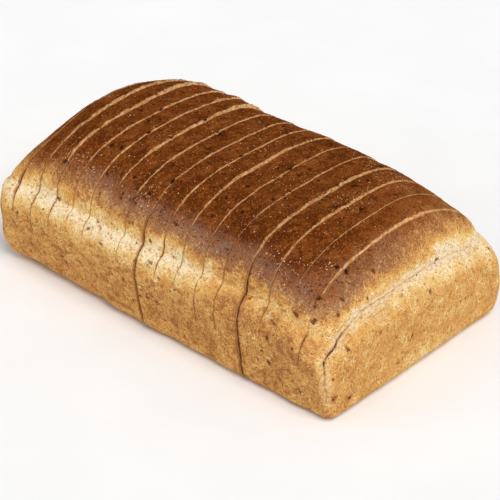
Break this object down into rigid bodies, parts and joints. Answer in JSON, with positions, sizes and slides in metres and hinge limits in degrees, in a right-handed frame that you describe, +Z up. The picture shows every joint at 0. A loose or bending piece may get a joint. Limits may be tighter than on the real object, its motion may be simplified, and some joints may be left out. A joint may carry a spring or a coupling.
{
  "type": "sliced tin loaf",
  "caption": "Brown bread baked in a tin, with a domed dark crown above a crease, cut across into slices that still stand together as a loaf.",
  "frame": {"origin": "middle of the flat base of the loaf's box", "axes": "+X along the loaf towards the near heel, +Y across it, +Z up from the base to the crown"},
  "size_m": [0.2342, 0.142, 0.0827],
  "materials": {
    "slice_crust": "baked crust, dark brown on the crown and golden brown on the sides",
    "heel_crust": "baked crust, golden brown",
    "crumb": "open brown crumb of the cut faces",
    "bran": "dark bran flakes on the crust",
    "pale_flakes": "pale crumbs and oat flakes on the crust"
  },
  "bodies": {
    "root": {"heel_far": "heel_crust", "slice_01": "slice_crust", "slice_02": "slice_crust", "slice_03": "slice_crust", "slice_04": "slice_crust", "slice_05": "slice_crust", "slice_06": "slice_crust", "slice_07": "slice_crust", "slice_08": "slice_crust", "slice_09": "slice_crust", "slice_10": "slice_crust", "slice_11": "slice_crust", "slice_12": "slice_crust", "slice_13": "slice_crust", "slice_14": "slice_crust", "slice_15": "slice_crust", "heel_near": "heel_crust"}
  },
  "joints": []
}
